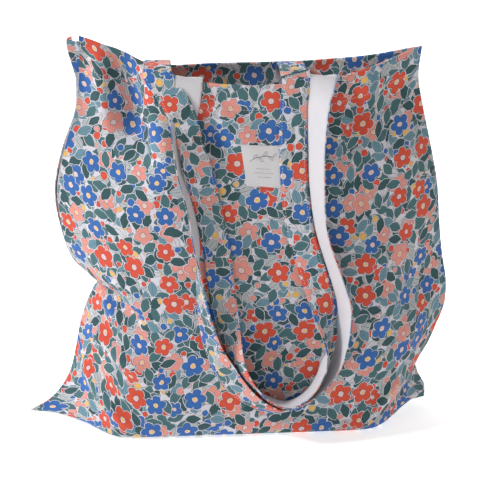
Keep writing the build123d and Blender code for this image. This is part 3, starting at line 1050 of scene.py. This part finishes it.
# %% Lay the two handles
def whole_strap(route, root):
    middles, lining = loop_stations(route)
    first, last = root(route[0][0]), root(route[-1][0])[::-1]
    middles = np.array([p for p, _ in first] + middles.tolist() + [p for p, _ in last], float)
    lining = np.array([w for _, w in first] + lining.tolist() + [w for _, w in last], float)
    return smooth_strap(middles, lining)


front_strap = whole_strap(front_route, front_root)
back_strap = whole_strap(back_route, back_root)
for title, strap in (("front", front_strap), ("back", back_strap)):
    strap_length = np.linalg.norm(np.diff(strap[0], axis=0), axis=1).sum()
    print(title, "handle is", round(float(strap_length)), "mm end to end")

# %% [markdown]
# ## Where the straps are cut
# A real strap is one strip, but the frame lifts it in stretches: the sewn end stays with the
# bag, the loop swings, and the stretch between them bends. Each strap is cut where it starts
# to hang free, and the back one also halfway over the mouth. Neighbouring stretches share
# their last cross-section, so no gap shows.

# %% Places of the cuts
def part_of(strap, low, high):
    """A stretch of a strap between two of its steps."""
    return tuple(values[low:high] for values in strap)


def hanging(strap, route):
    """The first and the last place of a strap that hangs free in front of the bag."""
    ends = loop_stations(route)[0][[0, -1]]
    return [int(np.argmin(np.linalg.norm(strap[0] - end, axis=1))) for end in ends]


halfway = 0.5 * (front_fold[1] + back_fold[1]) / MM
crossing = np.where(np.diff(np.sign(back_strap[0][:, 1] - halfway)) != 0)[0] + 1
first_cut, last_cut = int(crossing[0]), int(crossing[-1])
front_first, front_last = hanging(front_strap, front_route)
back_first, back_last = hanging(back_strap, back_route)
stretches = {
    "front_handle_left_root": (front_strap, 0, front_first + 1),
    "front_handle_loop": (front_strap, front_first, front_last + 1),
    "front_handle_right_root": (front_strap, front_last, None),
    "back_handle_left_root": (back_strap, 0, first_cut + 1),
    "back_handle_left_bridge": (back_strap, first_cut, back_first + 1),
    "back_handle_loop": (back_strap, back_first, back_last + 1),
    "back_handle_right_bridge": (back_strap, back_last, last_cut + 1),
    "back_handle_right_root": (back_strap, last_cut, None),
}
print("stretches:", {name: (low, high) for name, (_, low, high) in stretches.items()})

# %% [markdown]
# ## Make the bands
# Each stretch becomes a printed cover and a white lining. The print's map starts where the
# last stretch ended, so that the flowers run on across a cut.

# %% Covers and linings
COVER, LINING = 0.8, 0.8
STEP, RIM = 3.0, 1.2  # a step along the strap, and the printed rim beside the lining, mm
pieces = {}
for name, (strap, low, high) in stretches.items():
    part = part_of(strap, low, high)
    pieces[name + "_cover"] = ribbon_sheet(
        name + "_cover", part, STRAP, -COVER / 2, 0.7, COVER, print_outside, print_reverse, -1,
        start=STEP * low + 120)
    pieces[name + "_lining"] = ribbon_sheet(
        name + "_lining", part, STRAP - 2 * RIM, LINING / 2 + 0.02, 0, LINING, white_twill,
        white_twill, 1, start=STEP * low)
print("strap pieces:", sorted(pieces))

# %% [markdown]
# ## Running stitches
# Every seam is sewn with running stitches: short lengths of thread that come up through the
# cloth and go back down. Modelled one by one they would be thousands of objects, so all the
# stitches of a row are splines of one curve with a round bevel, turned into one mesh.

# %% Stitches along a path
DIVE, CREST = -0.35, 0.1  # mm below and above the cloth at a stitch's ends and middle


def running_stitches(name, path, normal, material, pitch=3.0, share=0.68, radius=0.16):
    """Stitches along a path of points; normal is the way out of the cloth at each point."""
    path, normal = np.asarray(path, float), np.asarray(normal, float)
    run = np.concatenate([[0], np.cumsum(np.linalg.norm(np.diff(path, axis=0), axis=1))])
    curve = bpy.data.curves.new(name, "CURVE")
    curve.dimensions = "3D"
    curve.bevel_depth = radius * MM
    curve.bevel_resolution = 1
    curve.use_fill_caps = True
    for begin in np.arange(pitch * 0.2, run[-1] - pitch * share, pitch):
        at = begin + pitch * share * np.array([0, 0.2, 0.8, 1])
        spot = np.stack([np.interp(at, run, path[:, k]) for k in range(3)], axis=-1)
        out = np.stack([np.interp(at, run, normal[:, k]) for k in range(3)], axis=-1)
        spot = spot + out * np.array([DIVE, CREST, CREST, DIVE])[:, None]
        spline = curve.splines.new("POLY")
        spline.points.add(3)
        spline.points.foreach_set("co", np.c_[spot * MM, np.ones(4)].ravel())
    return thread_mesh(name, curve, material)


def thread_mesh(name, curve, material):
    """Turn a bevelled curve into a mesh of thread."""
    piece = bpy.data.objects.new(name, curve)
    bpy.context.collection.objects.link(piece)
    bpy.context.view_layer.objects.active = piece
    piece.select_set(True)
    bpy.ops.object.convert(target="MESH")
    piece.select_set(False)
    piece.data.materials.clear()
    piece.data.materials.append(material)
    piece.data.name = name
    return piece


print("a stitch every", running_stitches.__defaults__[0], "mm")

# %% [markdown]
# ## Sew the straps
# Two rows of stitches hold cover and lining together, 2.2 mm in from each edge. They show on
# both faces, so each row is made twice, once on the lining and once on the cover.

# %% Strap stitching
EDGE_ROW = 2.2


def joined(name, parts):
    """Several meshes as one piece."""
    for part in parts:
        part.select_set(True)
    bpy.context.view_layer.objects.active = parts[0]
    bpy.ops.object.join()
    whole = bpy.context.object
    whole.name = whole.data.name = name
    whole.select_set(False)
    return whole


def strap_stitches(name, strap):
    """Two rows of stitches that show on the lining's side and on the cover's side."""
    middle, way, across = strap
    rows = []
    for edge in (-1, 1):
        line = middle + across * edge * (STRAP / 2 - EDGE_ROW)
        rows.append(running_stitches("row", line + way * LINING, way, white_thread))
        rows.append(running_stitches("row", line - way * COVER, -way, white_thread))
    return joined(name, rows)


for name, (strap, low, high) in stretches.items():
    pieces[name + "_stitching"] = strap_stitches(name + "_stitching", part_of(strap, low, high))
print("stitching:", [n for n in pieces if n.endswith("stitching")])

# %% [markdown]
# ## Sew the hems
# One row of stitches, 21 mm below the mouth, goes through the panel and its hem. It follows a
# row of the panel's grid, so that it dips and rises with the mouth.

# %% Hem stitching
HEM_ROW = 21


def hem_line(name, grid, side):
    """A line of stitches below the mouth, through the panel and its hem."""
    length = arc_lengths(grid[::-1], 0)[::-1]
    row = int(np.argmin(np.abs(length[:, length.shape[1] // 2] - HEM_ROW)))
    line = grid[row, 3:-3]
    du = np.gradient(grid, axis=1)[row, 3:-3]
    dv = np.gradient(grid, axis=0)[row, 3:-3]
    out = np.cross(du, dv) * (1 if side < 0 else -1)
    out /= np.linalg.norm(out, axis=-1, keepdims=True)
    return running_stitches(name, line + out * CLOTH / 2, out, white_thread, pitch=3.0)


front_hem = hem_line("front_hem_thread", front_grid, -1)
back_hem = hem_line("back_hem_thread", back_grid, 1)
print("hem rows:", len(front_hem.data.polygons), "and", len(back_hem.data.polygons), "faces of thread")

# %% [markdown]
# ## Seams
# Where the panels meet, their raw edges are turned in together and overlocked: a strip of
# cloth about 9 mm wide runs inside the bag along each side and along the floor. It is seldom
# seen, but it stiffens the edge and fills the dark line between the panels. It narrows
# towards the ears, which are too flat to hold its full width.

# %% Seam allowances inside the bag
def seam_strip(name, line, inward, width):
    """A strip between the panels' edges and the inside of the bag; width is one per point."""
    reach = np.asarray(width)[:, None] * np.linspace(0.0, 1.0, 4)[None, :]
    grid = line[:, None] + inward[:, None] * reach[..., None]
    uv = np.stack([reach, along_rows(grid, 0)[:, [0]] + np.zeros(reach.shape)], axis=-1)
    return cloth_sheet(name, grid, uv, 0.7, print_reverse, print_reverse, (0, -1, 0))


def side_strip(name, col):
    """The allowance along one side seam; col is the panels' edge column."""
    line = 0.5 * (front_grid[6:-3, col] + back_grid[6:-3, col])
    ahead = np.gradient(line, axis=0)
    ahead /= np.linalg.norm(ahead, axis=-1, keepdims=True)
    inward = np.cross(ahead, (0, 1, 0)) * (-1 if col == 0 else 1)
    inward /= np.linalg.norm(inward, axis=-1, keepdims=True)
    from_ear = np.linspace(0, PANEL_H, len(line))
    return seam_strip(name, line + inward * 0.4, inward, 1.0 + 7.6 * ramp(from_ear, 20, 60))


left_seam = side_strip("left_seam_allowance", 0)
right_seam = side_strip("right_seam_allowance", -1)
floor_line = 0.5 * (front_grid[0, 6:-6] + back_grid[0, 6:-6])
upward = np.zeros_like(floor_line)
upward[:, 2] = 1
from_end = np.minimum(np.arange(len(floor_line)), np.arange(len(floor_line))[::-1])
floor_seam = seam_strip("bottom_seam_allowance", floor_line, upward, 1.0 + 7.0 * ramp(from_end, 2, 16))
print("seams:", left_seam.name, right_seam.name, floor_seam.name)

# %% [markdown]
# ## The label
# A small square of woven cloth is sewn on, slightly crooked. Its corners are set on the front
# wall and everything on it is placed by shares of its width and height, so it follows the
# cloth behind it.

# %% Label cloth on the front panel
corners = {
    "top_left": (-5, 285), "top_right": (31, 283), "low_right": (36, 244), "low_left": (0, 248),
}
LABEL_W, LABEL_H, LABEL_STEPS = 36.5, 38.5, 19


def on_label(u, v, lift):
    """u to the right and v down the label, from 0 to 1; lift is mm off the panel."""
    names = ("top_left", "top_right", "low_right", "low_left")
    tl, tr, lr, ll = (np.array(corners[name], float) for name in names)
    spot = (1 - v) * ((1 - u) * tl + u * tr) + v * ((1 - u) * ll + u * lr)
    return np.array([spot[0], in_front(spot[0], spot[1]) - CLOTH / 2 - lift, spot[1]])


shares = np.linspace(0, 1, LABEL_STEPS)
label_grid = np.array([[on_label(u, 1 - v, 0.45) for u in shares] for v in shares])
label_uv = np.stack(np.meshgrid(LABEL_W * shares, LABEL_H * shares), axis=-1)
label = cloth_sheet("label_cloth_piece", label_grid, label_uv, 0.5, label_cloth, label_cloth, (0, -1, 0))
print("label middle:", np.round(on_label(0.5, 0.5, 0), 1), "mm")

# %% [markdown]
# ## What is stitched on the label
# The decoration is a plain sprig and three running lines in dark thread, inside a border that
# sews the label on. It could be painted in the shader, but thread stands proud of the cloth
# and catches the light, so it is made with the same stitches as the seams.

# %% Label border and sprig
EDGE = 0.035


def label_line(points, pitch, share, radius, material):
    """Stitches through points given as (u, v) on the label."""
    points = np.array(points, float)
    run = np.linspace(0, 1, len(points))
    at = np.linspace(0, 1, 8 * len(points))
    places = zip(np.interp(at, run, points[:, 0]), np.interp(at, run, points[:, 1]))
    path = [on_label(u, v, 0.72) for u, v in places]
    out = np.tile([0, -1, 0], (len(path), 1))
    return running_stitches("row", path, out, material, pitch, share, radius)


square = [(EDGE, EDGE), (1 - EDGE, EDGE), (1 - EDGE, 1 - EDGE), (EDGE, 1 - EDGE), (EDGE, EDGE)]
border = label_line(square, 2.2, 0.7, 0.13, white_thread)
stem = [label_line([(0.16, 0.40), (0.34, 0.30), (0.52, 0.26), (0.68, 0.25), (0.84, 0.30)],
                   1.1, 1.0, 0.17, dark_thread)]
for u, v, lean, size in ((0.27, 0.33, -1, 0.12), (0.40, 0.28, 1, 0.12), (0.53, 0.26, -1, 0.13),
                         (0.66, 0.25, 1, 0.11), (0.78, 0.27, -1, 0.10)):
    leaf = [(u, v), (u + 0.4 * size, v + 0.75 * lean * size), (u + size, v + 0.9 * lean * size),
            (u + 0.7 * size, v + 0.3 * lean * size), (u, v)]
    stem.append(label_line(leaf, 1.0, 1.0, 0.13, dark_thread))
for v, low, high in ((0.56, 0.30, 0.68), (0.66, 0.24, 0.74), (0.76, 0.32, 0.66)):
    stem.append(label_line([(low, v), (high, v)], 1.5, 0.6, 0.15, dark_thread))
label_thread = joined("label_thread", [border] + stem)
print("label:", len(label_thread.data.polygons), "faces of thread")

# %% [markdown]
# ## Boxes that hold the strap ends
# A sewn end carries the whole load, so it is held by a box of stitching with a cross in it.
# The box lies on the strap's lining, inside the bag, and is laid out from the strap's own
# first stations.

# %% Boxes of stitching
BOX_H, BOX_INSET = 22.0, 2.6


def tack_box(root):
    """A crossed box over one sewn end; root is that end's stations."""
    low, high = np.array(root[0][0]), np.array(root[2][0])
    way = np.array(root[0][1], float)
    up = (high - low) / np.linalg.norm(high - low)
    base = low + up * 2 + way * (LINING + 0.05)
    w = STRAP / 2 - BOX_INSET
    x = np.array([1.0, 0, 0])
    a, b = base - x * w, base + x * w
    c, d = b + up * BOX_H, a + up * BOX_H
    rows = []
    for p, q in ((a, b), (b, c), (c, d), (d, a), (a, c), (b, d)):
        path = np.linspace(p, q, 12)
        rows.append(running_stitches("row", path, np.tile(way, (12, 1)), white_thread, pitch=2.8))
    return rows


front_tacks = joined("front_handle_box_stitching", [
    piece for x in (front_route[0][0], front_route[-1][0]) for piece in tack_box(front_root(x))])
back_tacks = joined("back_handle_box_stitching", [
    piece for x in (back_route[0][0], back_route[-1][0]) for piece in tack_box(back_root(x))])
print("tacks:", front_tacks.name, back_tacks.name)

# %% [markdown]
# ## Which piece moves with what
# The body of the bag stays put, with everything that is sewn flat to it. Each of these pieces
# takes the place of one plain piece of the frame.

# %% Pieces that stay
still = {
    front_panel: "front_panel", back_panel: "back_panel",
    left_seam: "left_side_seam", right_seam: "right_side_seam", floor_seam: "bottom_seam",
    front_hem: "front_hem_stitching", back_hem: "back_hem_stitching",
    label: "label", label_thread: "label_stitching",
    front_tacks: "front_handle_tacks", back_tacks: "back_handle_tacks",
}
for piece, node in still.items():
    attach(piece, "bag")
    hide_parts(node)
print(len(still), "pieces ride the bag")

# %% [markdown]
# ## Loops that swing
# The front handle turns about the front fold. The back handle's two ends turn about the back
# fold, and its loop turns again about the front one. The loops swing stiffly on bodies of their
# own. The short stretches at the folds keep their place, and for each of them the line from
# one cut to the other is worked out.

# %% Swing the loops
# where each bend starts and ends: (stretch, near body, far body, strap, first place, last place)
bends = [
    ("front_handle_left_root", "bag", "front_handle", front_strap, front_first - 3, front_first),
    ("front_handle_right_root", "bag", "front_handle", front_strap, front_last + 3, front_last),
    ("back_handle_left_root", "bag", "back_handle_root", back_strap, first_cut - 8, first_cut),
    ("back_handle_right_root", "bag", "back_handle_root", back_strap, last_cut + 8, last_cut),
    ("back_handle_left_bridge", "back_handle_root", "back_handle_loop", back_strap,
     first_cut, back_first),
    ("back_handle_right_bridge", "back_handle_root", "back_handle_loop", back_strap,
     last_cut, back_last),
]
for kind in ("cover", "lining", "stitching"):
    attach(pieces["front_handle_loop_" + kind], "front_handle")
    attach(pieces["back_handle_loop_" + kind], "back_handle_loop")
    for name, near, far, strap, first, last in bends:
        start, end = strap[0][first] * MM, strap[0][last] * MM
        start[0] = end[0]
        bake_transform(pieces[f"{name}_{kind}"])
print(len(bends), "stretches bend, for each of cover, lining and stitching")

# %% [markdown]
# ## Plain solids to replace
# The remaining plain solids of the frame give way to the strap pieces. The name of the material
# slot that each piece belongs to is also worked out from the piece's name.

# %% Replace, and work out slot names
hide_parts("front_handle_cover")
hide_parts("front_handle_lining")
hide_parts("front_handle_stitching")
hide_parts("front_handle_cover_ends")
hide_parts("front_handle_lining_ends")
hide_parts("back_handle_cover")
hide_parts("back_handle_lining")
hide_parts("back_handle_stitching")
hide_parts("back_handle_cover_ends", "back_handle_cover_bridges")
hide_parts("back_handle_lining_ends",
            "back_handle_lining_bridges")

for piece in list(still) + list(pieces.values()):
    name = piece.name
    slot = "thread" if "thread" in name or "stitching" in name else "printed_cotton"
    slot = "white_twill" if "lining" in name else slot
    slot = "woven_label" if piece is label else slot
print("slots given to", len(still) + len(pieces), "pieces")

# Stating it lets anyone compare the bag with the cut: 380 by 449 mm for a panel with its
# hem, and 26.5 mm for a strap's cover with its turned edges.

# %% Flat sizes
print("sheets:", 3 + 2 * len(stretches))

# %% [markdown]
# ## Floor and backdrop
# A product is shown on pale paper that is lit until it turns almost white. Two large planes
# do that, and light of their own keeps them even without another lamp.

# %% Pale paper
pale = Recipe("pale paper")
pale.shader.inputs["Base Color"].default_value = (0.93, 0.93, 0.93, 1)
pale.shader.inputs["Roughness"].default_value = 0.9
pale.shader.inputs["Emission Color"].default_value = (1, 1, 1, 1)
pale.shader.inputs["Emission Strength"].default_value = 0.62
bpy.ops.mesh.primitive_plane_add(size=14, location=(0, 0, -0.0006))
ground_plane = bpy.context.object
bpy.ops.mesh.primitive_plane_add(size=14, location=(0, 3.0, 0), rotation=(math.pi / 2, 0, 0))
backdrop = bpy.context.object
for sheet, name in ((ground_plane, "ground"), (backdrop, "backdrop")):
    sheet.name = name
    sheet.data.materials.append(pale.material)
print("stage:", ground_plane.name, backdrop.name)

# %% [markdown]
# ## Light
# One window-like lamp, high on the left and a little in front, grazes the cloth, so that its
# left side is bright and the folds cast soft shade to the right. A weak, warm sky fills the
# shade. A second lamp from the front would flatten the folds.

# %% Window and sky
def soft_light(name, place, aim, size, power, tint):
    """A round area lamp that looks at a point."""
    bpy.ops.object.light_add(type="AREA", location=place)
    lamp = bpy.context.object
    lamp.name = name
    lamp.data.shape = "DISK"
    lamp.data.size = size
    lamp.data.energy = power
    lamp.data.color = tint
    direction = mathutils.Vector(aim) - mathutils.Vector(place)
    lamp.rotation_euler = direction.to_track_quat("-Z", "Y").to_euler()
    return lamp


soft_light("window", (-1.70, -0.36, 1.95), (0, 0, 0.2), 0.5, 54, (0.95, 0.97, 1.0))
world = bpy.data.worlds.new("studio")
bpy.context.scene.world = world
world.use_nodes = True
world.node_tree.nodes["Background"].inputs["Color"].default_value = (1.0, 0.93, 0.87, 1)
world.node_tree.nodes["Background"].inputs["Strength"].default_value = 0.24
view = bpy.context.scene.view_settings
view.view_transform = "Standard"

# %% [markdown]
# ## Camera
# The bag is seen from a little to the left and from about twenty degrees above, with a long
# lens, so that its sides stay nearly parallel and the near mouth edge lies below the far one.

# %% Camera
bpy.ops.object.camera_add(location=(-0.08775, -1.21204, 0.627))
camera = bpy.context.object
camera.name = "camera"
gaze = mathutils.Vector((-0.003, 0.0, 0.179)) - camera.location
camera.rotation_euler = gaze.to_track_quat("-Z", "Y").to_euler()
camera.data.lens = 100.96
camera.data.sensor_width = 36.0
bpy.context.scene.camera = camera
print("camera looks along", np.round(gaze.normalized(), 2))

# %% [markdown]
